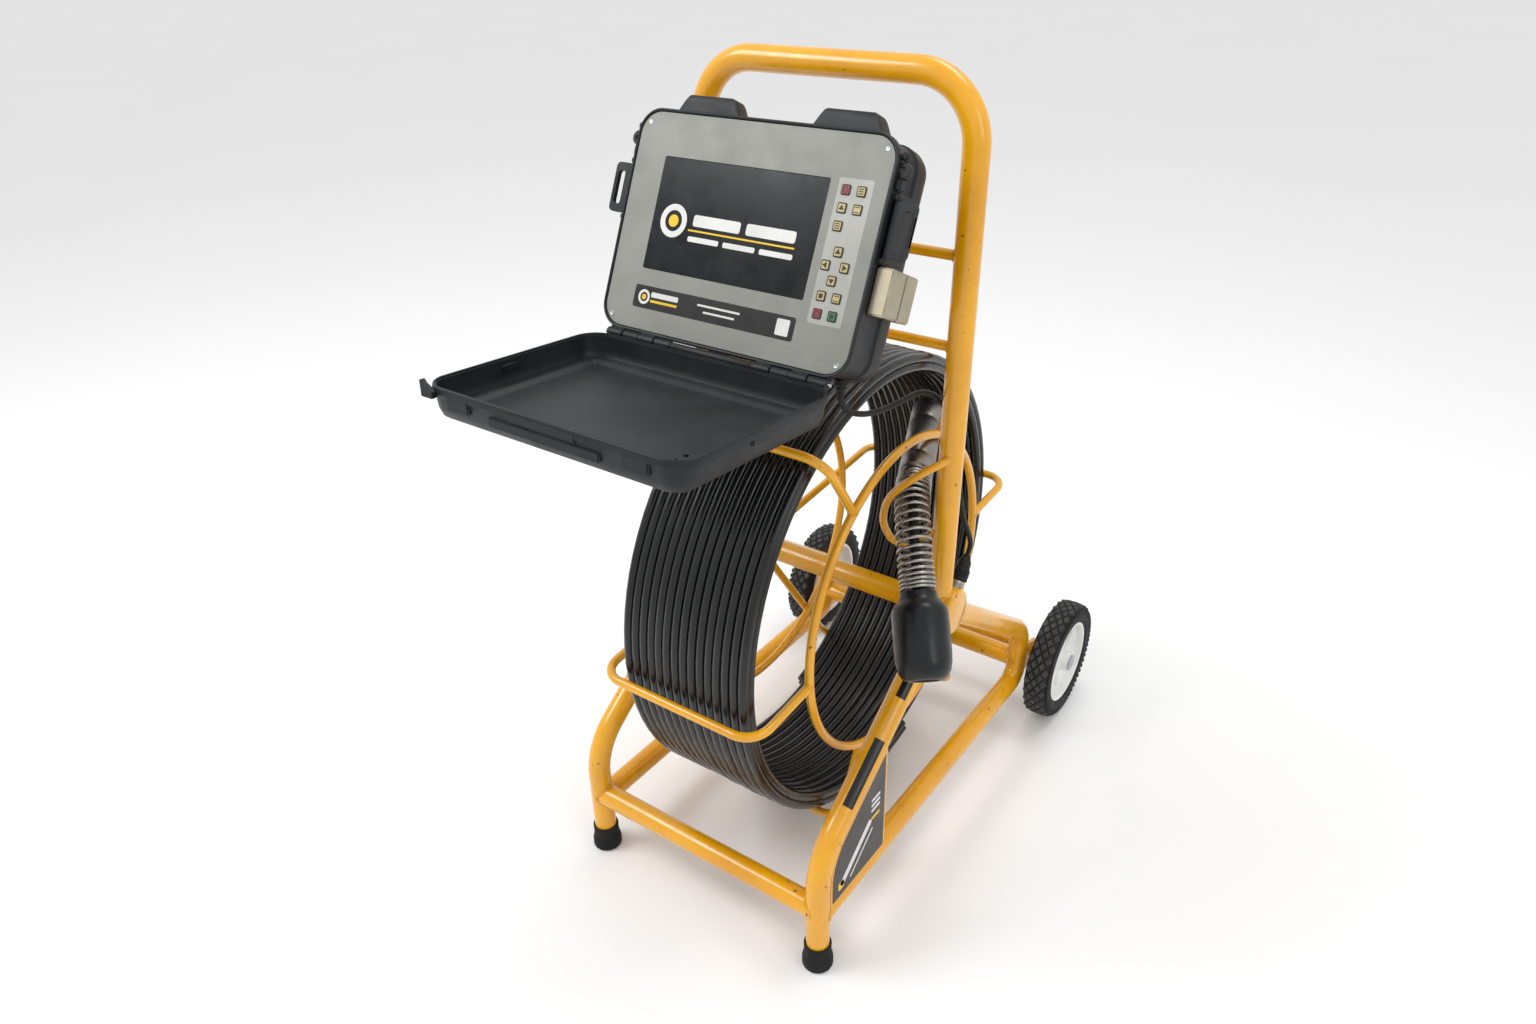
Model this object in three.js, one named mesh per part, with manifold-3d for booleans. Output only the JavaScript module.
// A drain inspection set on wheels: a bent-tube cart that carries a wire-cage reel of push rod,
// a camera head parked in a wire ring, and a monitor in a hinged hard case on the handle.
// Millimetres, +Z up, +X to the user's right when facing the rear, -Y towards the front feet.
import * as THREE from "three";
import { mergeVertices } from "three/addons/utils/BufferGeometryUtils.js";
import Module from "manifold-3d";

const wasm = await Module();
wasm.setup();

// ---------- Driving dimensions ----------
const GAP = 0.3; // left between pieces that touch
const DEG = Math.PI / 180;

// Cart frame
const TUBE_R = 15.9;
const TUBE_SIDES = 14;
const SIDE_X = 190; // middle of each side frame
const RAIL_Z = 90;
const KNEE_Z = 184; // where a front leg's upright and slope would cross
const KNEE_R = 90;
const REAR_Y = 612;
const LOWER_CORNER_R = 32;
const UPPER_CORNER_R = 55;
const STRUT_SLOPE = 35.4;
const FRONT_CROSS_Z = 101;
const REAR_CROSS_Z = 124;
const COPE_SETBACK = 4; // a cross tube stops this far short of the side frame's middle
const HUB_Y = 306.5;
const HUB_Z = 399.3;
const HUB_R = 32.2;
const HUB_INNER_OFFSET = 22; // hub ends, inside and outside the side frame's middle
const HUB_OUTER_OFFSET = 22.7;
const HUB_WALL = 5;
const POST_FOOT_Y = 297; // where a handle post's middle line crosses the hub's height
const POST_LEAN = 0.0239; // how far back a post goes for each unit up
const HANDLE_TOP_Z = 1078.7;
const HANDLE_BEND_R = 76.5;
const FOOT_R = 21;
const FOOT_TOP_R = 18.6;
const FOOT_HEIGHT = 40;
const FOOT_SOLE = 12;
const PLATE_OFFSET = 11.5; // from the side frame's middle to the plate's inner face
const PLATE_THICKNESS = 2;
const PLATE_END_Y = 146;

// Wheels
const WHEEL_Y = 678.3;
const WHEEL_R = 101.6;
const AXLE_R = 8;
const AXLE_PROUD = 27; // from the tyre's middle to the axle's end
const TAB_R = 20; // round end of the plate that carries the axle
const TAB_HALF = 3;
const TAB_LOW = 22; // the tab's lower and upper corners on the rear upright, from the axle's height
const TAB_HIGH = 44;
const TYRE_WIDTH = 44;
const TYRE_CROWN = 5; // how the tread and shoulder fall away
const TYRE_SHOULDER = 9;
const TYRE_OFFSET = 46; // from the side frame's middle to the tyre's
const RIM_R = 70.3;
const RIM_WIDTH = 38;
const RIM_HUB_R = 17;
const RIM_HUB_WIDTH = 46;
const RIM_WEB = 5;
const RIM_WALL = 6;
const WHEEL_SEGMENTS = 24;

// Reel
const REEL_TUBE_R = 16;
const REEL_TUBE_SETBACK = 6; // the reel tube ends this far inside the side frame's middle
const BAR_R = 6;
const BAR_SIDES = 8;
const CAGE_X = 123.2;
const HOOP_R = 225.8;
const CAGE_R = 344.5; // middle of the cage bars' outer runs
const CAGE_CORNER_R = 32;
const CAGE_BARS = 6;
const CAGE_START = 4.5; // degrees from +Y
const COIL_R = 331.6;
const COIL_INNER_R = 306.2;
const COIL_HALF_WIDTH = 102.5;
const BEARING_WIDTH = 12;
const BEARING_INSET = 2; // from the hub's inner end
const SLIP_RING_R = 21;

// Push rod and camera head
const ROD_R = 6.5;
const LEAD_X = 46.3;
const LEAD_COIL_R = 298; // middle of the rod where it lies inside the coil
const LEAD_LANDING = 34.3; // degrees from +Y where it meets the coil
const LEAD_END = -50;
const LEAD_STEP = 7;
const LEAD_TURN_STEPS = 5;
const LEAD_EASE = 25;
const HEAD_TOP = [59.6, 492, 597.6];
const HEAD_JOINT = [133, 316, 575];
const SPRING_END = [203, 207, 484];
const HEAD_NOSE = [250, 147, 403];
const COUPLING_R = 23;
const SPRING_R = 21;
const SPRING_WIRE_R = 2.4;
const SPRING_TURNS = 14;
const SPRING_STEPS = 8; // for each turn
const SPRING_EASE = 54;
const BUMPER_R = 36;
const LENS_R = 13;
const LENS_DEPTH = 9;
const RING_WIRE_R = 5;
const RING_STEPS = 22;
const HOOP_SEGMENTS = 36;
const COIL_SEGMENTS = 56;

// Monitor case: its own frame has +X right, +Y into the case and +Z up the panel
const CASE_Y = 73.9;
const CASE_Z = 812.3;
const CASE_TILT = 24.8;
const CASE_WIDTH = 346;
const CASE_HEIGHT = 256;
const CASE_BOTTOM = -7; // lower outer wall, below the case frame's origin
const CASE_CORNER_R = 30;
const CASE_WALL = 3.5;
const BASE_DEPTH = 80;
const LID_DEPTH = 38;
const LID_OPEN = 110;
const LID_RISE = 6; // from the hinge pin to the lid's rear wall
const PIN_R = 2;
const KNUCKLE_R = 5.6;
const KNUCKLE_WIDTH = 24;
const PANEL_THICKNESS = 3;
const PANEL_RECESS = 2;
const PANEL_MARGIN = 0.6; // between the panel's edge and the case wall
const SCREEN_X = -13;
const SCREEN_Z = 132;
const SCREEN_WIDTH = 224;
const SCREEN_HEIGHT = 128;
const KEY_SIZE = 11;
const KEY_PITCH = 18.8;
const KEY_PROUD = 1.4;
const KEY_LENGTH = 5;
const KEY_MARGIN = 0.6;
const KEY_COLUMN_X = 120.6;
const KEY_TOP_Z = 186.6;
const KEY_LOW_Z = 75.7;
const ARROW_X = 128.8;
const ARROW_Z = 107.8;
const ARROW_REACH_X = 11.7;
const ARROW_REACH_Z = 15.2;
const LATCH_Z = 155;
const LATCH_HEIGHT = 58;
const LATCH_REACH = 25;
const LATCH_THICKNESS = 6;
const LATCH_PIVOT_X = 4.5; // outside the case wall
const LATCH_DEPTH = 12; // from the rim's plane to the latch pivot
const LUG_HEIGHT = 7; // the blocks above and below each latch
const LUG_WIDTH = 10;
const LUG_DEPTH = 14;
const STRAP_Z = 214;
const STRAP_LUG = { width: 12, depth: 10, height: 22, offset: 4, holeR: 3.5 };
const EARS = [[-127, -36], [56, 147]]; // left and right ends of the raised ears on the top wall
const EAR_SLOPE = 16;
const EAR_HEIGHT = 19;
const EAR_START = 4;
const EAR_DEPTH = 26;
const SLOT_WIDTH = 9; // finger slot in a latch
const SLOT_MARGIN = 10;
const SCREEN_THICKNESS = 8;
const SCREEN_SETBACK = 1; // from the panel's face to the glass
const WEB_SIZE = 6; // web that joins a hinge knuckle to its wall
const PIN_OVERHANG = 4;
const BATTERY = { width: 20, depth: 60, height: 50, start: 10, bottom: 67 };

// Cradle that joins the case to the handle
const HANDLE_BAR_R = 6.5;
const UPPER_BAR_Z = 882;
const LOWER_BAR_Z = 772;
const CRADLE_PLATE_WIDTH = 170;
const CRADLE_PLATE_HEIGHT = 128;
const CRADLE_STEEL = 4;
const CRADLE_ARM_X = 70;
const CRADLE_ARM_THICKNESS = 5;
const CRADLE_STRIP_WIDTH = 26;
const CRADLE_STRIP_START = 9;

// Monitor lead
const LEAD_R = 3.5;
const LEAD_STEPS = 38;
const PLUG_ANGLE = 50; // the plug's rise above level, pointing to the rear
const SOCKET_R = 9;
const SOCKET_LENGTH = 10;
const PLUG_R = 12;
const PLUG_LENGTH = 36;
const PLUG_OFFSET = 8; // from the side frame's middle to the plug's axis

// ---------- Values that follow from them ----------
const HUB_INNER_X = SIDE_X - HUB_INNER_OFFSET;
const HUB_OUTER_X = SIDE_X + HUB_OUTER_OFFSET;
const PLATE_X = SIDE_X + PLATE_OFFSET;
const TYRE_X = SIDE_X + TYRE_OFFSET;
const AXLE_REACH = TYRE_X + AXLE_PROUD;
const REEL_TUBE_END_X = SIDE_X - REEL_TUBE_SETBACK;
const PLUG_X = SIDE_X + PLUG_OFFSET;
const CASE_TOP = CASE_BOTTOM + CASE_HEIGHT;
const HINGE_Z = CASE_BOTTOM - LID_RISE;
const LID_ELEVATION = 90 + CASE_TILT - LID_OPEN;
const PANEL_WIDTH = CASE_WIDTH - 2 * (CASE_WALL + PANEL_MARGIN);
const PANEL_HEIGHT = CASE_HEIGHT - 2 * (CASE_WALL + PANEL_MARGIN);
const LID_LENGTH = LID_RISE + CASE_HEIGHT;
const lidTurn = LID_OPEN * DEG;
const caseTurn = -CASE_TILT * DEG;
const hingeY = CASE_Y + HINGE_Z * Math.sin(CASE_TILT * DEG);
const lidReach = LID_LENGTH * Math.cos(LID_ELEVATION * DEG) + LID_DEPTH * Math.sin(LID_ELEVATION * DEG);
const FRONT_Y = hingeY - lidReach;
const ORIGIN_Y = (FRONT_Y + WHEEL_Y + WHEEL_R) / 2;

// ---------- Finishes ----------
const finish = (color, roughness, metalness) => ({ color, roughness, metalness });
const YELLOW = finish(0xf2a900, 0.35, 0.1);
const BLACK_RUBBER = finish(0x1b1b1c, 0.85, 0);
const BLACK_PLASTIC = finish(0x232426, 0.6, 0);
const STEEL = finish(0xb4b2ad, 0.35, 0.9);
const WHITE_PLASTIC = finish(0xe9e9e6, 0.5, 0);
const PUSH_ROD = finish(0x151617, 0.3, 0);
const PANEL_GREY = finish(0x9a9b93, 0.6, 0.1);
const SCREEN_BLACK = finish(0x14171c, 0.15, 0);
const ALUMINIUM = finish(0xb9b4a3, 0.4, 0.7);
const KEY_GREY = finish(0xc9c4a8, 0.5, 0);
const KEY_RED = finish(0xb5444c, 0.5, 0);
const KEY_GREEN = finish(0x3f8a62, 0.5, 0);

// ---------- Shape helpers ----------
const point = (p) => new THREE.Vector3(...p);

// A line through given points, so that a sweep puts one section on each of them.
class BentLine extends THREE.Curve {
  constructor(points) {
    super();
    this.points = points;
  }
  getUtoTmapping(u) {
    return u;
  }
  getPoint(t, target = new THREE.Vector3()) {
    const last = this.points.length - 1;
    const i = Math.min(Math.floor(t * last), last - 1);
    return target.lerpVectors(this.points[i], this.points[i + 1], t * last - i);
  }
  getTangent(t, target = new THREE.Vector3()) {
    const last = this.points.length - 1;
    const i = Math.round(t * last);
    target.set(0, 0, 0);
    if (i > 0) target.add(this.points[i].clone().sub(this.points[i - 1]).normalize());
    if (i < last) target.add(this.points[i + 1].clone().sub(this.points[i]).normalize());
    return target.normalize();
  }
}

// Rounds the inner corners of a chain of points with arcs, as a tube bender does.
function bend(corners, radii, stepDegrees = 15) {
  const points = [point(corners[0])];
  for (let i = 1; i < corners.length - 1; i++) {
    const corner = point(corners[i]);
    const back = point(corners[i - 1]).sub(corner).normalize();
    const ahead = point(corners[i + 1]).sub(corner).normalize();
    const turn = Math.PI - back.angleTo(ahead);
    const radius = Array.isArray(radii) ? radii[i - 1] : radii;
    const reach = radius * Math.tan(turn / 2);
    const middle = back.clone().add(ahead).setLength(radius / Math.cos(turn / 2)).add(corner);
    const from = corner.clone().addScaledVector(back, reach).sub(middle);
    const axis = new THREE.Vector3().crossVectors(ahead, back).normalize();
    const steps = Math.max(2, Math.ceil(turn / (stepDegrees * DEG)));
    for (let k = 0; k <= steps; k++) {
      points.push(from.clone().applyAxisAngle(axis, (turn * k) / steps).add(middle));
    }
  }
  points.push(point(corners.at(-1)));
  return points;
}

function disc(radius, sides) {
  const outline = [];
  for (let i = 0; i < sides; i++) {
    const angle = (2 * Math.PI * (i + 0.5)) / sides;
    outline.push(new THREE.Vector2(radius * Math.cos(angle), radius * Math.sin(angle)));
  }
  return new THREE.Shape(outline);
}

function sweep(points, radius, sides = TUBE_SIDES) {
  const path = new BentLine(points);
  return new THREE.ExtrudeGeometry(disc(radius, sides), { steps: points.length - 1, extrudePath: path });
}

const rod = (from, to, radius, sides = TUBE_SIDES) => sweep([point(from), point(to)], radius, sides);

// A turned piece: the profile is radius and height, the axis runs from one point towards another.
function turned(profile, from, to, sides = 24) {
  const outline = profile.map(([radius, height]) => new THREE.Vector2(radius, height));
  const geometry = new THREE.LatheGeometry(outline, sides);
  const direction = point(to).sub(point(from)).normalize();
  const turn = new THREE.Quaternion().setFromUnitVectors(new THREE.Vector3(0, 1, 0), direction);
  return geometry.applyQuaternion(turn).translate(...from);
}

function roundedOutline(width, bottom, height, radius) {
  const x = width / 2;
  const top = bottom + height;
  const shape = new THREE.Shape();
  shape.moveTo(-x + radius, bottom);
  shape.lineTo(x - radius, bottom);
  shape.absarc(x - radius, bottom + radius, radius, -Math.PI / 2, 0, false);
  shape.lineTo(x, top - radius);
  shape.absarc(x - radius, top - radius, radius, 0, Math.PI / 2, false);
  shape.lineTo(-x + radius, top);
  shape.absarc(-x + radius, top - radius, radius, Math.PI / 2, Math.PI, false);
  shape.lineTo(-x, bottom + radius);
  shape.absarc(-x + radius, bottom + radius, radius, Math.PI, 1.5 * Math.PI, false);
  return shape;
}

// An outline in X and Z, given its thickness along +Y from a start.
function slab(shape, start, thickness, curveSegments = 4) {
  const geometry = new THREE.ExtrudeGeometry(shape, { depth: thickness, bevelEnabled: false, curveSegments });
  return geometry.rotateX(Math.PI / 2).translate(0, start + thickness, 0);
}

const box = (x, y, z, width, depth, height) => new THREE.BoxGeometry(width, depth, height).translate(x, y, z);

function polygon(points) {
  return new THREE.Shape(points.map(([a, b]) => new THREE.Vector2(a, b)));
}

// An outline in Y and Z, given its thickness along +X from a start.
function sidePlate(shape, startX, thickness, curveSegments = 5) {
  const geometry = new THREE.ExtrudeGeometry(shape, { depth: thickness, bevelEnabled: false, curveSegments });
  const turn = new THREE.Matrix4().set(0, 0, 1, startX, 1, 0, 0, 0, 0, 1, 0, 0, 0, 0, 0, 1);
  return geometry.applyMatrix4(turn);
}

function toSolid(geometry) {
  const bare = geometry.clone();
  bare.deleteAttribute("normal");
  bare.deleteAttribute("uv");
  const merged = mergeVertices(bare, 1e-3);
  const vertProperties = new Float32Array(merged.attributes.position.array);
  const triVerts = new Uint32Array(merged.index.array);
  return new wasm.Manifold(new wasm.Mesh({ numProp: 3, vertProperties, triVerts }));
}

function toGeometry(solid) {
  const mesh = solid.getMesh();
  const geometry = new THREE.BufferGeometry();
  geometry.setAttribute("position", new THREE.Float32BufferAttribute(mesh.vertProperties, 3));
  geometry.setIndex(new THREE.Uint32BufferAttribute(mesh.triVerts, 1));
  geometry.computeVertexNormals();
  return geometry;
}

const join = (geometries) => toGeometry(geometries.map(toSolid).reduce((a, b) => a.add(b)));
const cut = (geometry, cutters) => {
  return toGeometry(cutters.map(toSolid).reduce((a, b) => a.subtract(b), toSolid(geometry)));
};

function addMesh(parent, name, geometry, look) {
  const mesh = new THREE.Mesh(geometry, new THREE.MeshStandardMaterial(look));
  mesh.name = name;
  parent.add(mesh);
}

const sides = [
  { side: -1, name: "left" },
  { side: 1, name: "right" },
];

// ---------- Cart frame ----------
const postY = (z) => POST_FOOT_Y + POST_LEAN * (z - HUB_Z);
const hubCutter = (side) => {
  const inner = [side * (HUB_INNER_X - TUBE_R), HUB_Y, HUB_Z];
  return rod(inner, [side * (HUB_OUTER_X + TUBE_R), HUB_Y, HUB_Z], HUB_R + GAP, 28);
};
const postCutter = (side) => {
  const x = side * SIDE_X;
  const top = HANDLE_TOP_Z - HANDLE_BEND_R;
  return rod([x, postY(HUB_Z), HUB_Z], [x, postY(top), top], TUBE_R + GAP);
};

function frontLegPoints(side, footZ) {
  const x = side * SIDE_X;
  return bend([[x, 0, footZ], [x, 0, KNEE_Z], [x, HUB_Y, HUB_Z]], KNEE_R, 10);
}

const frontLeg = (side) => cut(sweep(frontLegPoints(side, FOOT_SOLE + GAP), TUBE_R), [hubCutter(side)]);
const legCutter = (side) => sweep(frontLegPoints(side, 0), TUBE_R + GAP);

// Lower rail, rear upright and upper strut are one bent tube, with a tab that carries the axle.
function railTube(side, radius) {
  const x = side * SIDE_X;
  const upperCornerZ = HUB_Z - Math.tan(STRUT_SLOPE * DEG) * (REAR_Y - HUB_Y);
  const corners = [[x, 0, RAIL_Z], [x, REAR_Y, RAIL_Z], [x, REAR_Y, upperCornerZ], [x, HUB_Y, HUB_Z]];
  return sweep(bend(corners, [LOWER_CORNER_R, UPPER_CORNER_R], 18), radius);
}

function sideRail(side) {
  const x = side * SIDE_X;
  const tube = railTube(side, TUBE_R);
  const tab = new THREE.Shape();
  tab.moveTo(REAR_Y, WHEEL_R - TAB_LOW);
  tab.lineTo(WHEEL_Y, WHEEL_R - TAB_R);
  tab.absarc(WHEEL_Y, WHEEL_R, TAB_R, -Math.PI / 2, Math.PI / 2, false);
  tab.lineTo(REAR_Y, WHEEL_R + TAB_HIGH);
  const plate = sidePlate(tab, x - TAB_HALF, 2 * TAB_HALF, 6);
  const axle = rod([x - TUBE_R, WHEEL_Y, WHEEL_R], [x + TUBE_R, WHEEL_Y, WHEEL_R], AXLE_R + GAP, 20);
  return cut(join([tube, plate]), [axle, legCutter(side), hubCutter(side)]);
}

function crossTube(y, z, cutters) {
  const reach = SIDE_X - COPE_SETBACK;
  return cut(rod([-reach, y, z], [reach, y, z], TUBE_R), cutters);
}

function handleLoop() {
  const corner = (side, z) => [side * SIDE_X, postY(z), z];
  const corners = [corner(-1, HUB_Z), corner(-1, HANDLE_TOP_Z), corner(1, HANDLE_TOP_Z), corner(1, HUB_Z)];
  return cut(sweep(bend(corners, HANDLE_BEND_R), TUBE_R), [hubCutter(-1), hubCutter(1)]);
}

const plugDirection = [0, Math.cos(PLUG_ANGLE * DEG), Math.sin(PLUG_ANGLE * DEG)];
const plugPoint = (reach) => [PLUG_X, HUB_Y + reach * plugDirection[1], HUB_Z + reach * plugDirection[2]];

// A cup, open towards the reel, that holds a bearing and a slip ring.
function hubHousing(side) {
  const depth = HUB_OUTER_X - HUB_INNER_X;
  const bore = HUB_R - HUB_WALL;
  const profile = [
    [0, 0], [HUB_R - 2, 0], [HUB_R, 2], [HUB_R, depth], [bore, depth], [bore, HUB_WALL], [0, HUB_WALL],
  ];
  const outerEnd = [side * HUB_OUTER_X, HUB_Y, HUB_Z];
  const cup = turned(profile, outerEnd, [0, HUB_Y, HUB_Z], 28);
  if (side < 0) return cup;
  return join([cup, rod(plugPoint(HUB_R - 2), plugPoint(HUB_R + SOCKET_LENGTH), SOCKET_R, 16)]);
}

function foot(side) {
  const bore = TUBE_R + GAP;
  const profile = [
    [0, 0], [FOOT_R - 2, 0], [FOOT_R, 3], [FOOT_R, 14], [FOOT_TOP_R, 24], [FOOT_TOP_R, FOOT_HEIGHT],
    [bore, FOOT_HEIGHT], [bore, FOOT_SOLE], [0, FOOT_SOLE],
  ];
  return turned(profile, [side * SIDE_X, 0, 0], [side * SIDE_X, 0, 1], 20);
}

// The plate fills the corner between leg and rail, tucked in behind the tubes' outer faces.
function gussetPlate() {
  const inset = Math.sqrt(TUBE_R ** 2 - (PLATE_X - SIDE_X) ** 2) + GAP;
  const slope = Math.atan2(HUB_Z - KNEE_Z, HUB_Y);
  const reach = KNEE_R * Math.tan((Math.PI / 2 - slope) / 2);
  const middle = [KNEE_R, KNEE_Z - reach];
  const topZ = KNEE_Z + PLATE_END_Y * Math.tan(slope) - inset / Math.cos(slope);
  const shape = new THREE.Shape();
  shape.moveTo(inset, RAIL_Z + inset);
  shape.lineTo(inset, middle[1]);
  shape.absarc(middle[0], middle[1], KNEE_R - inset, Math.PI, Math.PI / 2 + slope, true);
  shape.lineTo(PLATE_END_Y, topZ);
  shape.lineTo(PLATE_END_Y, RAIL_Z + inset);
  return cut(sidePlate(shape, PLATE_X, PLATE_THICKNESS, 8), [legCutter(1)]);
}

// The park for the camera head: wire from the post's front, round the spring, and back to the post.
const RING_POINTS = [
  [192, 296, 631], [188, 277, 629], [166, 261.5, 613], [128, 262, 572.5], [111, 276, 527.6],
  [112.3, 284, 505.6], [122.3, 289.4, 490.8], [150, 294, 498], [186, 297, 530],
];

function holderRing() {
  const path = new THREE.CatmullRomCurve3(RING_POINTS.map(point), false, "centripetal");
  return cut(sweep(path.getSpacedPoints(RING_STEPS), RING_WIRE_R, BAR_SIDES), [postCutter(1)]);
}

function buildFrame(parent) {
  for (const { side, name } of sides) {
    addMesh(parent, `${name}_front_leg`, frontLeg(side), YELLOW);
    addMesh(parent, `${name}_side_rail`, sideRail(side), YELLOW);
    addMesh(parent, `${name}_hub_housing`, hubHousing(side), YELLOW);
    addMesh(parent, `${name}_foot`, foot(side), BLACK_RUBBER);
  }
  const rails = [railTube(-1, TUBE_R + GAP), railTube(1, TUBE_R + GAP)];
  const frontCutters = [legCutter(-1), legCutter(1), ...rails];
  addMesh(parent, "front_cross_tube", crossTube(0, FRONT_CROSS_Z, frontCutters), YELLOW);
  addMesh(parent, "rear_cross_tube", crossTube(REAR_Y, REAR_CROSS_Z, rails), YELLOW);
  addMesh(parent, "handle_loop", handleLoop(), YELLOW);
  addMesh(parent, "gusset_plate", gussetPlate(), YELLOW);
  addMesh(parent, "camera_holder_ring", holderRing(), YELLOW);
}

// ---------- Wheels ----------
function buildWheels(parent) {
  const axle = rod([-AXLE_REACH, WHEEL_Y, WHEEL_R], [AXLE_REACH, WHEEL_Y, WHEEL_R], AXLE_R, 20);
  addMesh(parent, "wheel_axle", axle, STEEL);
  const half = TYRE_WIDTH / 2;
  const bead = RIM_R + GAP;
  const tyre = [
    [bead, -half + 4], [bead + 6, -half], [WHEEL_R - TYRE_SHOULDER, -half],
    [WHEEL_R - 2, -half + TYRE_CROWN], [WHEEL_R, 0], [WHEEL_R - 2, half - TYRE_CROWN],
    [WHEEL_R - TYRE_SHOULDER, half], [bead + 6, half], [bead, half - 4], [bead, -half + 4],
  ];
  const bore = AXLE_R + GAP;
  const rimHalf = RIM_WIDTH / 2;
  const hubHalf = RIM_HUB_WIDTH / 2;
  const web = RIM_WEB / 2;
  const inner = RIM_R - RIM_WALL;
  const rim = [
    [bore, -hubHalf], [RIM_HUB_R, -hubHalf], [RIM_HUB_R, -web], [inner, -web], [inner, -rimHalf],
    [RIM_R, -rimHalf], [RIM_R, rimHalf], [inner, rimHalf], [inner, web], [RIM_HUB_R, web],
    [RIM_HUB_R, hubHalf], [bore, hubHalf], [bore, -hubHalf],
  ];
  for (const { side, name } of sides) {
    const middle = [side * TYRE_X, WHEEL_Y, WHEEL_R];
    const outwards = [side * (TYRE_X + 1), WHEEL_Y, WHEEL_R];
    addMesh(parent, `${name}_tyre`, turned(tyre, middle, outwards, WHEEL_SEGMENTS), BLACK_RUBBER);
    addMesh(parent, `${name}_rim`, turned(rim, middle, outwards, WHEEL_SEGMENTS), WHITE_PLASTIC);
  }
}

// ---------- Reel ----------
// One cage bar: a spoke from the reel tube, the outer run over the coil, and a short leg to the right hoop.
function cageBar(angle) {
  const at = (x, radius) => [x, HUB_Y + radius * Math.cos(angle), HUB_Z + radius * Math.sin(angle)];
  const legEnd = HOOP_R + BAR_R + GAP;
  const corners = [at(-CAGE_X, 0), at(-CAGE_X, CAGE_R), at(CAGE_X, CAGE_R), at(CAGE_X, legEnd)];
  const bar = sweep(bend(corners, CAGE_CORNER_R, 18), BAR_R, BAR_SIDES);
  const tube = rod([-REEL_TUBE_END_X, HUB_Y, HUB_Z], [0, HUB_Y, HUB_Z], REEL_TUBE_R + GAP);
  return cut(bar, [tube]);
}

function hoop(x) {
  const outline = [];
  for (let i = 0; i <= BAR_SIDES; i++) {
    const angle = (2 * Math.PI * (i + 0.5)) / BAR_SIDES;
    outline.push([HOOP_R + BAR_R * Math.cos(angle), BAR_R * Math.sin(angle)]);
  }
  return turned(outline, [x, HUB_Y, HUB_Z], [x + 1, HUB_Y, HUB_Z], HOOP_SEGMENTS);
}

function ringAround(x, width, innerR, outerR, segments) {
  const profile = [[innerR, 0], [outerR, 0], [outerR, width], [innerR, width], [innerR, 0]];
  return turned(profile, [x, HUB_Y, HUB_Z], [x + 1, HUB_Y, HUB_Z], segments);
}

function buildReel(parent) {
  const tube = rod([-REEL_TUBE_END_X, HUB_Y, HUB_Z], [REEL_TUBE_END_X, HUB_Y, HUB_Z], REEL_TUBE_R);
  addMesh(parent, "reel_tube", tube, YELLOW);
  addMesh(parent, "right_hoop", hoop(CAGE_X), YELLOW);
  addMesh(parent, "left_hoop", hoop(-CAGE_X + 2 * BAR_R + GAP), YELLOW);
  for (let i = 0; i < CAGE_BARS; i++) {
    const angle = (CAGE_START + (360 / CAGE_BARS) * i) * DEG;
    addMesh(parent, `cage_bar_${i + 1}`, cageBar(angle), YELLOW);
  }
  const coil = ringAround(-COIL_HALF_WIDTH, 2 * COIL_HALF_WIDTH, COIL_INNER_R, COIL_R, COIL_SEGMENTS);
  addMesh(parent, "push_rod_coil", coil, PUSH_ROD);
  const bearingR = HUB_R - HUB_WALL - GAP;
  for (const { side, name } of sides) {
    const near = HUB_INNER_X + BEARING_INSET;
    const start = side > 0 ? near : -near - BEARING_WIDTH;
    const bearing = ringAround(start, BEARING_WIDTH, REEL_TUBE_R + GAP, bearingR, 28);
    addMesh(parent, `${name}_bearing`, bearing, STEEL);
  }
  const slipStart = REEL_TUBE_END_X + GAP;
  const slipEnd = HUB_OUTER_X - HUB_WALL - GAP;
  const slipRing = rod([slipStart, HUB_Y, HUB_Z], [slipEnd, HUB_Y, HUB_Z], SLIP_RING_R, 20);
  addMesh(parent, "slip_ring", slipRing, BLACK_PLASTIC);
}

// ---------- Push rod lead and camera head ----------
// From the head's coupling the rod turns down the rear of the reel and lies inside the coil.
function leadPoints() {
  const start = point(HEAD_TOP);
  const along = start.clone().sub(point(HEAD_JOINT)).normalize();
  const onCoil = (degrees) => {
    const angle = degrees * DEG;
    const out = [LEAD_COIL_R * Math.cos(angle), LEAD_COIL_R * Math.sin(angle)];
    return new THREE.Vector3(LEAD_X, HUB_Y + out[0], HUB_Z + out[1]);
  };
  const landing = onCoil(LEAD_LANDING);
  const down = new THREE.Vector3(0, Math.sin(LEAD_LANDING * DEG), -Math.cos(LEAD_LANDING * DEG));
  const ferrule = start.clone().addScaledVector(along, ROD_R);
  const turnIn = new THREE.CubicBezierCurve3(
    ferrule,
    start.clone().addScaledVector(along, LEAD_EASE),
    landing.clone().addScaledVector(down, -LEAD_EASE),
    landing,
  );
  const points = [start.clone().addScaledVector(along, GAP), ...turnIn.getSpacedPoints(LEAD_TURN_STEPS)];
  for (let angle = LEAD_LANDING - LEAD_STEP; angle >= LEAD_END; angle -= LEAD_STEP) {
    points.push(onCoil(angle));
  }
  return points;
}

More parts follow.
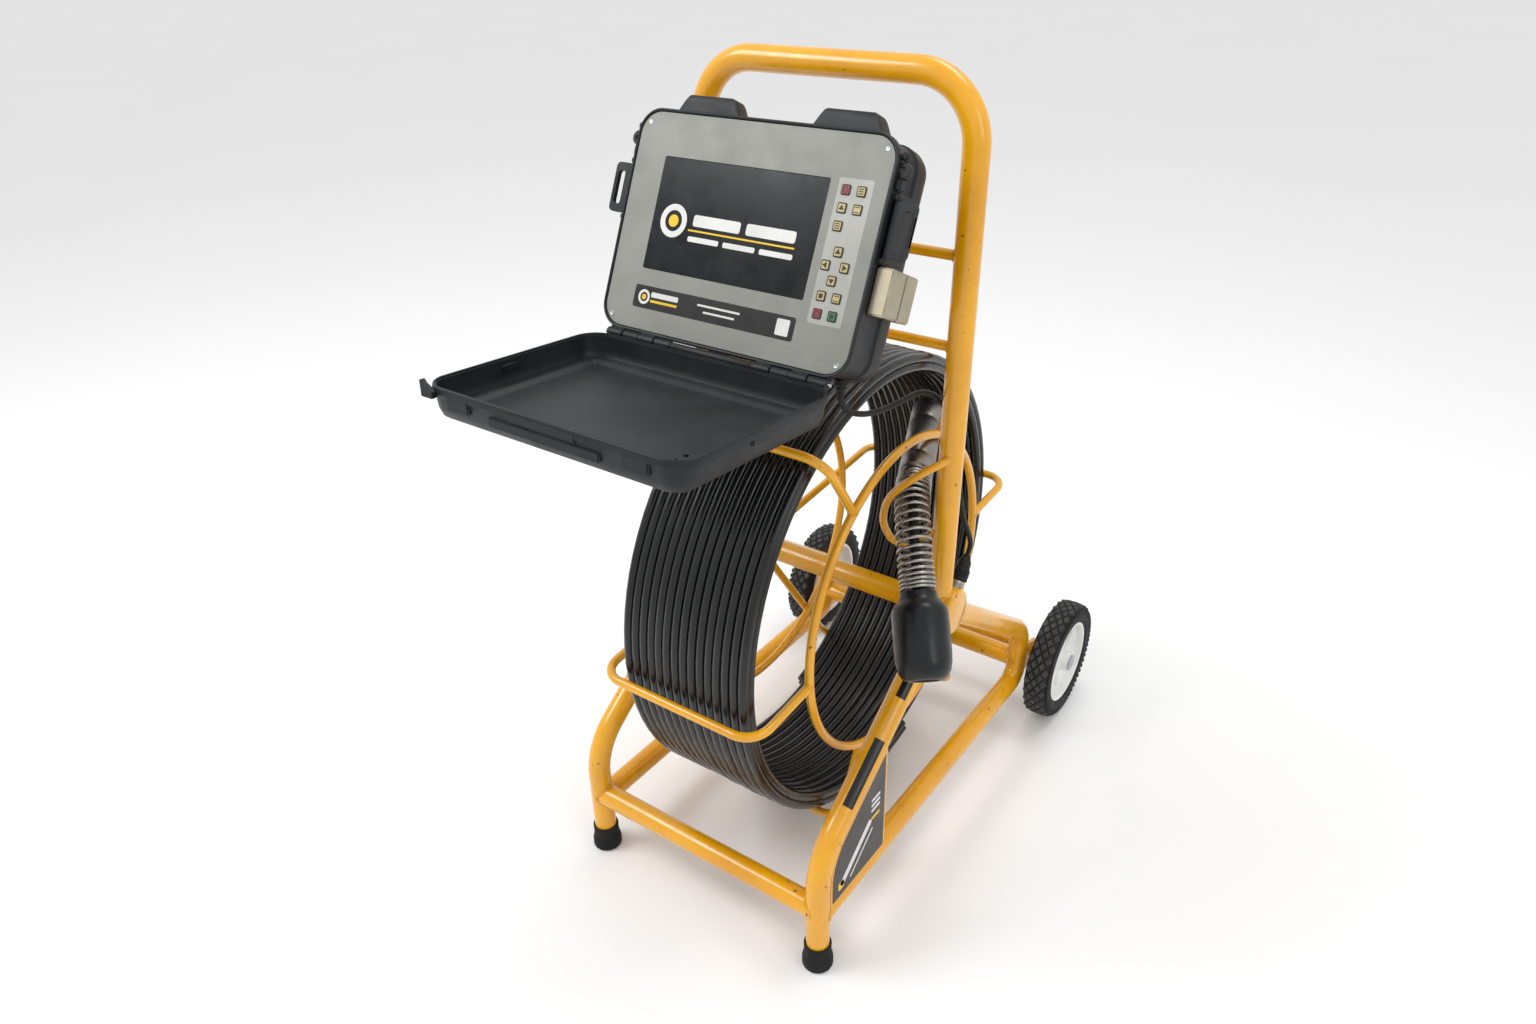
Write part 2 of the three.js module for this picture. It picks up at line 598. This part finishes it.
function helix(turns, stepsPerTurn) {
  const joint = point(HEAD_JOINT);
  const end = point(SPRING_END);
  const leave = joint.clone().sub(point(HEAD_TOP)).normalize();
  const arrive = point(HEAD_NOSE).sub(end).normalize();
  const axis = new THREE.CubicBezierCurve3(
    joint,
    joint.clone().addScaledVector(leave, SPRING_EASE),
    end.clone().addScaledVector(arrive, -SPRING_EASE),
    end,
  );
  const steps = turns * stepsPerTurn;
  const frames = axis.computeFrenetFrames(steps, false);
  const length = axis.getLength();
  const margin = (SPRING_WIRE_R + GAP) / length;
  const points = [];
  for (let i = 0; i <= steps; i++) {
    const u = margin + (1 - 2 * margin) * (i / steps);
    const angle = (2 * Math.PI * i) / stepsPerTurn;
    const around = frames.normals[i].clone().multiplyScalar(Math.cos(angle) * SPRING_R);
    around.addScaledVector(frames.binormals[i], Math.sin(angle) * SPRING_R);
    points.push(axis.getPointAt(u).add(around));
  }
  return points;
}

function buildCameraHead(parent) {
  addMesh(parent, "push_rod_lead", sweep(leadPoints(), ROD_R, 10), PUSH_ROD);
  const couplingLength = point(HEAD_TOP).distanceTo(point(HEAD_JOINT));
  const coupling = [
    [0, 0], [ROD_R + 4, 0], [COUPLING_R - 6, 4], [COUPLING_R, 14], [COUPLING_R, couplingLength],
    [0, couplingLength],
  ];
  addMesh(parent, "camera_coupling", turned(coupling, HEAD_TOP, HEAD_JOINT), STEEL);
  addMesh(parent, "camera_spring", sweep(helix(SPRING_TURNS, SPRING_STEPS), SPRING_WIRE_R, 5), STEEL);
  const start = GAP;
  const length = point(SPRING_END).distanceTo(point(HEAD_NOSE));
  const profile = [
    [0, start], [COUPLING_R, start], [COUPLING_R + 4, start + 5], [BUMPER_R, start + 22], [BUMPER_R, length - 26],
    [BUMPER_R - 4, length - 9], [BUMPER_R - 14, length], [LENS_R + GAP, length],
    [LENS_R + GAP, length - LENS_DEPTH], [0, length - LENS_DEPTH],
  ];
  addMesh(parent, "camera_bumper", turned(profile, SPRING_END, HEAD_NOSE, 26), BLACK_RUBBER);
  const back = length - LENS_DEPTH + GAP;
  const lens = [[0, back], [LENS_R, back], [LENS_R, length - 5], [0, length - 5]];
  addMesh(parent, "camera_lens", turned(lens, SPRING_END, HEAD_NOSE, 20), SCREEN_BLACK);
}

// ---------- Monitor lead ----------
// Out of the case's underside, behind the right post and down into the plug on the hub.
const plugEnd = plugPoint(HUB_R + SOCKET_LENGTH + PLUG_LENGTH + 4 * GAP);
const LEAD_ROUTE = [
  [140, 118, 776.6], [141, 115.5, 765], [144, 126, 748], [150, 150, 736], [156, 185, 730], [160, 225, 728],
  [162, 265, 724], [165, 298, 708], [172, 319, 684], [184, 326.5, 655], [190, 326.5, 622], [193, 326, 590],
  [195, 329, 558], [196.5, 338, 528], [198, 351, 503], [198, 361.5, 484], [198, 364.5, 473],
];

function buildMonitorLead(parent) {
  const route = LEAD_ROUTE.map(point);
  route.push(point(plugPoint(HUB_R + SOCKET_LENGTH + PLUG_LENGTH + 8)));
  route.push(point(plugEnd));
  const path = new THREE.CatmullRomCurve3(route, false, "centripetal");
  addMesh(parent, "monitor_lead", sweep(path.getSpacedPoints(LEAD_STEPS), LEAD_R, 8), BLACK_RUBBER);
  const profile = [
    [0, 0], [PLUG_R, 0], [PLUG_R, 15], [PLUG_R - 2, 17], [PLUG_R - 2, 26], [LEAD_R + 2, PLUG_LENGTH],
    [0, PLUG_LENGTH],
  ];
  const start = plugPoint(HUB_R + SOCKET_LENGTH + GAP);
  addMesh(parent, "lead_plug", turned(profile, start, plugEnd, 20), BLACK_PLASTIC);
}

// ---------- Monitor case ----------
const pinCutter = () => rod([-CASE_WIDTH, 0, HINGE_Z], [CASE_WIDTH, 0, HINGE_Z], PIN_R + GAP, 12);

// Knuckles on the base leave every other place to the lid's.
const KNUCKLES = [-130, -82, 82, 130];
const knucklePair = (x, offset) => x + (offset * (KNUCKLE_WIDTH + 1)) / 2;

function knuckle(x) {
  const middle = knucklePair(x, -1);
  const half = (KNUCKLE_WIDTH - 1) / 2;
  const barrel = rod([middle - half, 0, HINGE_Z], [middle + half, 0, HINGE_Z], KNUCKLE_R, 12);
  const web = box(middle, WEB_SIZE / 2, HINGE_Z + 5, 2 * half, WEB_SIZE, WEB_SIZE);
  return join([barrel, web]);
}

// Two raised ears on the top wall, a strap lug on each side, and the lower hinge knuckles.
function caseBase() {
  const outline = roundedOutline(CASE_WIDTH, CASE_BOTTOM, CASE_HEIGHT, CASE_CORNER_R);
  const outer = slab(outline, GAP, BASE_DEPTH - GAP);
  const innerWidth = CASE_WIDTH - 2 * CASE_WALL;
  const innerHeight = CASE_HEIGHT - 2 * CASE_WALL;
  const innerR = CASE_CORNER_R - CASE_WALL;
  const pocketDepth = BASE_DEPTH - CASE_WALL;
  const inside = roundedOutline(innerWidth, CASE_BOTTOM + CASE_WALL, innerHeight, innerR);
  const pieces = [outer];
  const holes = [slab(inside, -1, pocketDepth + 1), pinCutter()];
  for (const [from, to] of EARS) {
    const low = CASE_TOP - 3;
    const top = CASE_TOP + EAR_HEIGHT;
    const ear = polygon([[from, low], [to, low], [to - EAR_SLOPE, top], [from + EAR_SLOPE, top]]);
    pieces.push(slab(ear, EAR_START, EAR_DEPTH));
  }
  for (const { side } of sides) {
    const { width, depth, height, offset, holeR } = STRAP_LUG;
    const lugX = side * (CASE_WIDTH / 2 + offset);
    const holeX = lugX + side;
    pieces.push(box(lugX, LATCH_DEPTH, STRAP_Z, width, depth, height));
    holes.push(rod([holeX, 0, STRAP_Z], [holeX, 2 * LATCH_DEPTH, STRAP_Z], holeR, 10));
    for (const end of [-1, 1]) {
      const z = LATCH_Z + end * (LATCH_HEIGHT / 2 + GAP + LUG_HEIGHT / 2);
      pieces.push(box(side * (CASE_WIDTH / 2 + 3), LATCH_DEPTH + 2, z, LUG_WIDTH, LUG_DEPTH, LUG_HEIGHT));
    }
  }
  for (const x of KNUCKLES) pieces.push(knuckle(x));
  return cut(join(pieces), holes);
}

function controlPanel(keys) {
  const z = CASE_BOTTOM + CASE_WALL + PANEL_MARGIN;
  const corner = CASE_CORNER_R - CASE_WALL - PANEL_MARGIN;
  const plate = slab(roundedOutline(PANEL_WIDTH, z, PANEL_HEIGHT, corner), PANEL_RECESS, PANEL_THICKNESS);
  const open = (x, up, width, height) => {
    return box(x, PANEL_RECESS, up, width + 2 * KEY_MARGIN, 20, height + 2 * KEY_MARGIN);
  };
  const holes = keys.map((key) => open(key.x, key.z, KEY_SIZE, KEY_SIZE));
  holes.push(open(SCREEN_X, SCREEN_Z, SCREEN_WIDTH, SCREEN_HEIGHT));
  return cut(plate, holes);
}

function keyList() {
  const right = KEY_COLUMN_X + KEY_PITCH;
  return [
    { name: "power_key", x: KEY_COLUMN_X, z: KEY_TOP_Z, look: KEY_RED },
    { name: "menu_key", x: right, z: KEY_TOP_Z },
    { name: "light_key", x: KEY_COLUMN_X, z: KEY_TOP_Z - KEY_PITCH },
    { name: "zoom_key", x: right, z: KEY_TOP_Z - KEY_PITCH },
    { name: "flip_key", x: KEY_COLUMN_X, z: KEY_TOP_Z - 2 * KEY_PITCH },
    { name: "up_key", x: ARROW_X, z: ARROW_Z + ARROW_REACH_Z },
    { name: "left_key", x: ARROW_X - ARROW_REACH_X, z: ARROW_Z },
    { name: "right_key", x: ARROW_X + ARROW_REACH_X, z: ARROW_Z },
    { name: "down_key", x: ARROW_X, z: ARROW_Z - ARROW_REACH_Z },
    { name: "stop_key", x: KEY_COLUMN_X, z: KEY_LOW_Z },
    { name: "photo_key", x: right, z: KEY_LOW_Z },
    { name: "record_key", x: KEY_COLUMN_X, z: KEY_LOW_Z - KEY_PITCH, look: KEY_RED },
    { name: "play_key", x: right, z: KEY_LOW_Z - KEY_PITCH, look: KEY_GREEN },
  ];
}

// A latch: a flat loop with a finger slot, round at the pivot beside the case wall.
function latch(side) {
  const x = CASE_WIDTH / 2 + LATCH_PIVOT_X;
  const low = LATCH_Z - LATCH_HEIGHT / 2;
  const top = low + LATCH_HEIGHT;
  const end = x + LATCH_REACH;
  const shape = polygon([[side * x, low], [side * end, low + 3], [side * end, top - 3], [side * x, top]]);
  const half = LATCH_THICKNESS / 2;
  const barrel = rod([side * x, LATCH_DEPTH, low], [side * x, LATCH_DEPTH, top], half, 12);
  const slotX = side * (end - SLOT_MARGIN);
  const slot = box(slotX, LATCH_DEPTH, LATCH_Z, SLOT_WIDTH, 2 * LATCH_DEPTH, LATCH_HEIGHT - 2 * SLOT_MARGIN);
  return cut(join([slab(shape, LATCH_DEPTH - half, LATCH_THICKNESS), barrel]), [slot]);
}

// The lid lies open in its own frame: +Y runs from the hinge pin to the front edge, +Z is its inner side.
function lid() {
  const outline = (width, start, length, radius, low, height) => {
    const geometry = new THREE.ExtrudeGeometry(roundedOutline(width, start, length, radius), {
      depth: height,
      bevelEnabled: false,
      curveSegments: 4,
    });
    return geometry.translate(0, 0, low);
  };
  const outer = outline(CASE_WIDTH, LID_RISE, CASE_HEIGHT, CASE_CORNER_R, -LID_DEPTH, LID_DEPTH - GAP);
  const pocket = outline(
    CASE_WIDTH - 2 * CASE_WALL, LID_RISE + CASE_WALL, CASE_HEIGHT - 2 * CASE_WALL, CASE_CORNER_R - CASE_WALL,
    -LID_DEPTH + CASE_WALL, LID_DEPTH + 2,
  );
  const pieces = [outer];
  for (const x of KNUCKLES) {
    const middle = knucklePair(x, -1);
    const half = (KNUCKLE_WIDTH - 1) / 2;
    pieces.push(rod([middle - half, 0, 0], [middle + half, 0, 0], KNUCKLE_R, 12));
    pieces.push(box(middle, 5, -3.5, 2 * half, WEB_SIZE, WEB_SIZE));
  }
  const pin = rod([-CASE_WIDTH, 0, 0], [CASE_WIDTH, 0, 0], PIN_R + GAP, 12);
  return cut(join(pieces), [pocket, pin]);
}

function buildCase(parent) {
  const box3d = new THREE.Group();
  box3d.position.set(0, CASE_Y, CASE_Z);
  box3d.rotation.x = caseTurn;
  parent.add(box3d);
  const keys = keyList();
  addMesh(box3d, "case_base", caseBase(), BLACK_PLASTIC);
  addMesh(box3d, "control_panel", controlPanel(keys), PANEL_GREY);
  const glassY = PANEL_RECESS + SCREEN_SETBACK + SCREEN_THICKNESS / 2;
  const glass = box(SCREEN_X, glassY, SCREEN_Z, SCREEN_WIDTH, SCREEN_THICKNESS, SCREEN_HEIGHT);
  addMesh(box3d, "screen", glass, SCREEN_BLACK);
  for (const { name, x, z, look = KEY_GREY } of keys) {
    const middle = PANEL_RECESS - KEY_PROUD + KEY_LENGTH / 2;
    addMesh(box3d, name, box(x, middle, z, KEY_SIZE, KEY_LENGTH, KEY_SIZE), look);
  }
  const pinReach = KNUCKLES.at(-1) + KNUCKLE_WIDTH + PIN_OVERHANG;
  addMesh(box3d, "hinge_pin", rod([-pinReach, 0, HINGE_Z], [pinReach, 0, HINGE_Z], PIN_R, 10), STEEL);
  const { width, depth, height, start, bottom } = BATTERY;
  const batteryX = CASE_WIDTH / 2 + GAP + width / 2;
  const battery = box(batteryX, start + depth / 2, bottom + height / 2, width, depth, height);
  addMesh(box3d, "battery_pack", battery, ALUMINIUM);
  for (const { side, name } of sides) addMesh(box3d, `${name}_latch`, latch(side), BLACK_PLASTIC);
  const lidFrame = new THREE.Group();
  lidFrame.position.set(0, 0, HINGE_Z);
  lidFrame.rotation.set(lidTurn - Math.PI / 2, 0, 0);
  const lidSeat = new THREE.Group();
  lidSeat.rotation.z = Math.PI;
  lidFrame.add(lidSeat);
  box3d.add(lidFrame);
  addMesh(lidSeat, "case_lid", lid(), BLACK_PLASTIC);
}

// Bars between the posts, two arms, a plate behind the case, and a strip that hooks under it.
function cradle() {
  const intoCase = new THREE.Matrix4().makeRotationX(caseTurn).setPosition(0, CASE_Y, CASE_Z);
  const back = BASE_DEPTH + GAP;
  const plateLow = CASE_BOTTOM - GAP - CRADLE_STEEL;
  const plateZ = plateLow + CRADLE_PLATE_HEIGHT / 2;
  const plate = box(0, back + CRADLE_STEEL / 2, plateZ, CRADLE_PLATE_WIDTH, CRADLE_STEEL, CRADLE_PLATE_HEIGHT);
  const stripLength = back + CRADLE_STEEL - CRADLE_STRIP_START;
  const stripY = CRADLE_STRIP_START + stripLength / 2;
  const stripZ = plateLow + CRADLE_STEEL / 2;
  const strip = box(0, stripY, stripZ, CRADLE_STRIP_WIDTH, stripLength, CRADLE_STEEL);
  const pieces = [plate, strip].map((geometry) => geometry.applyMatrix4(intoCase));
  for (const z of [UPPER_BAR_Z, LOWER_BAR_Z]) {
    pieces.push(rod([-SIDE_X, postY(z), z], [SIDE_X, postY(z), z], HANDLE_BAR_R, 12));
  }
  const onPlate = (z) => {
    const place = new THREE.Vector3(0, back + CRADLE_STEEL / 2, z).applyMatrix4(intoCase);
    return [place.y, place.z];
  };
  const arm = polygon([
    onPlate(plateLow + 6), [postY(LOWER_BAR_Z), LOWER_BAR_Z - 4], [postY(LOWER_BAR_Z), LOWER_BAR_Z + 8],
    [postY(UPPER_BAR_Z), UPPER_BAR_Z - 8], [postY(UPPER_BAR_Z), UPPER_BAR_Z + 4], onPlate(plateLow + 124),
  ]);
  for (const { side } of sides) {
    pieces.push(sidePlate(arm, side * CRADLE_ARM_X - CRADLE_ARM_THICKNESS / 2, CRADLE_ARM_THICKNESS));
  }
  return cut(join(pieces), [postCutter(-1), postCutter(1)]);
}

// ---------- Assembly ----------
const machine = new THREE.Group();
machine.name = "drain_inspection_cart";
machine.position.y = -ORIGIN_Y;
buildFrame(machine);
buildWheels(machine);
buildReel(machine);
buildCameraHead(machine);
buildMonitorLead(machine);
addMesh(machine, "monitor_cradle", cradle(), YELLOW);
buildCase(machine);

export default machine;
